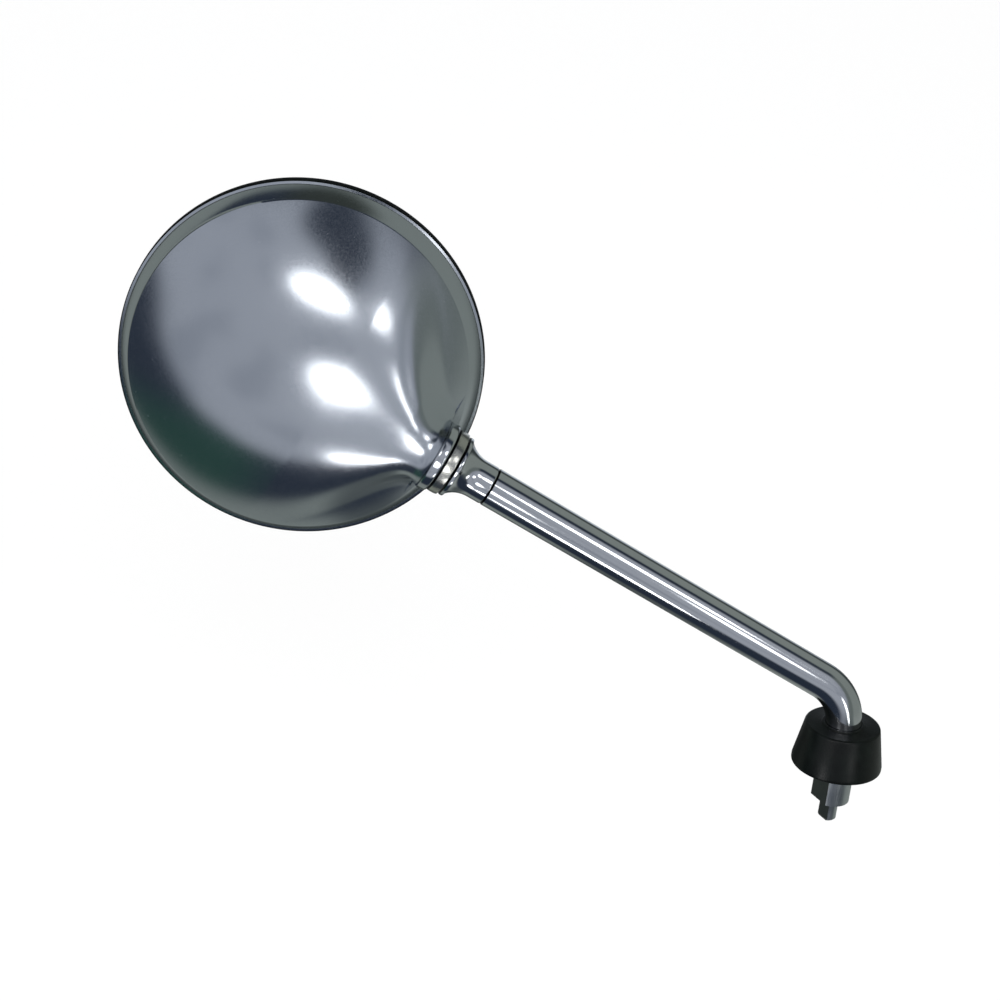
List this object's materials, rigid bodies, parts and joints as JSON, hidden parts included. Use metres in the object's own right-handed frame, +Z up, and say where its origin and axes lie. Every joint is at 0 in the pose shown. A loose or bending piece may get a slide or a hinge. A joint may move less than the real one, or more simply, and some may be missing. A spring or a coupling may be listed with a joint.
{
  "type": "motorcycle mirror",
  "caption": "Round chromed rear-view mirror on a bent tube arm, with a ball joint in the neck of its domed back and a rubber-booted keyed stud.",
  "frame": {"origin": "on the mounting stud's axis, at the seat under the rubber boot", "axes": "+Z up the stud's axis, the arm leans to -X, the chromed back faces -Y and the glass faces +Y"},
  "size_m": [0.2351, 0.0351, 0.1682],
  "materials": {
    "satin_chrome": "pressed steel with a satin, faintly blue chrome",
    "bright_chrome": "polished chrome on tube and turned steel",
    "black_rubber": "matt moulded rubber with a faint sheen",
    "plain_steel": "turned and milled zinc-grey steel",
    "nylon": "natural nylon",
    "mirror_glass": "silvered convex glass"
  },
  "bodies": {
    "arm": {"base_stud": "plain_steel", "mount_boot": "black_rubber", "arm_tube": "bright_chrome", "arm_cup": "bright_chrome", "tension_bolt": "plain_steel", "tension_spring": "plain_steel", "nut_washer": "plain_steel", "lock_nut": "plain_steel", "thrust_washer": "plain_steel"},
    "swivel": {"swivel_ball": "bright_chrome"},
    "liner": {"friction_liner": "nylon"},
    "head": {"socket_cup": "bright_chrome", "head_shell": "satin_chrome", "rim_gasket": "black_rubber", "mirror_glass": "mirror_glass"}
  },
  "joints": [
    {"name": "neck_roll", "type": "hinge", "parent": "arm", "child": "swivel", "pos_m": [-0.1234, 0, 0.07812], "axis": [-0.9114, 0, 0.4115], "continuous": true},
    {"name": "head_tilt", "type": "hinge", "parent": "swivel", "child": "liner", "pos_m": [-0.1234, 0, 0.07812], "axis": [0.4098, 0.0924, 0.9075], "range_deg": [-12, 12]},
    {"name": "head_pan", "type": "hinge", "parent": "liner", "child": "head", "pos_m": [-0.1234, 0, 0.07812], "axis": [0.038, -0.9957, 0.0842], "range_deg": [-12, 12]}
  ]
}
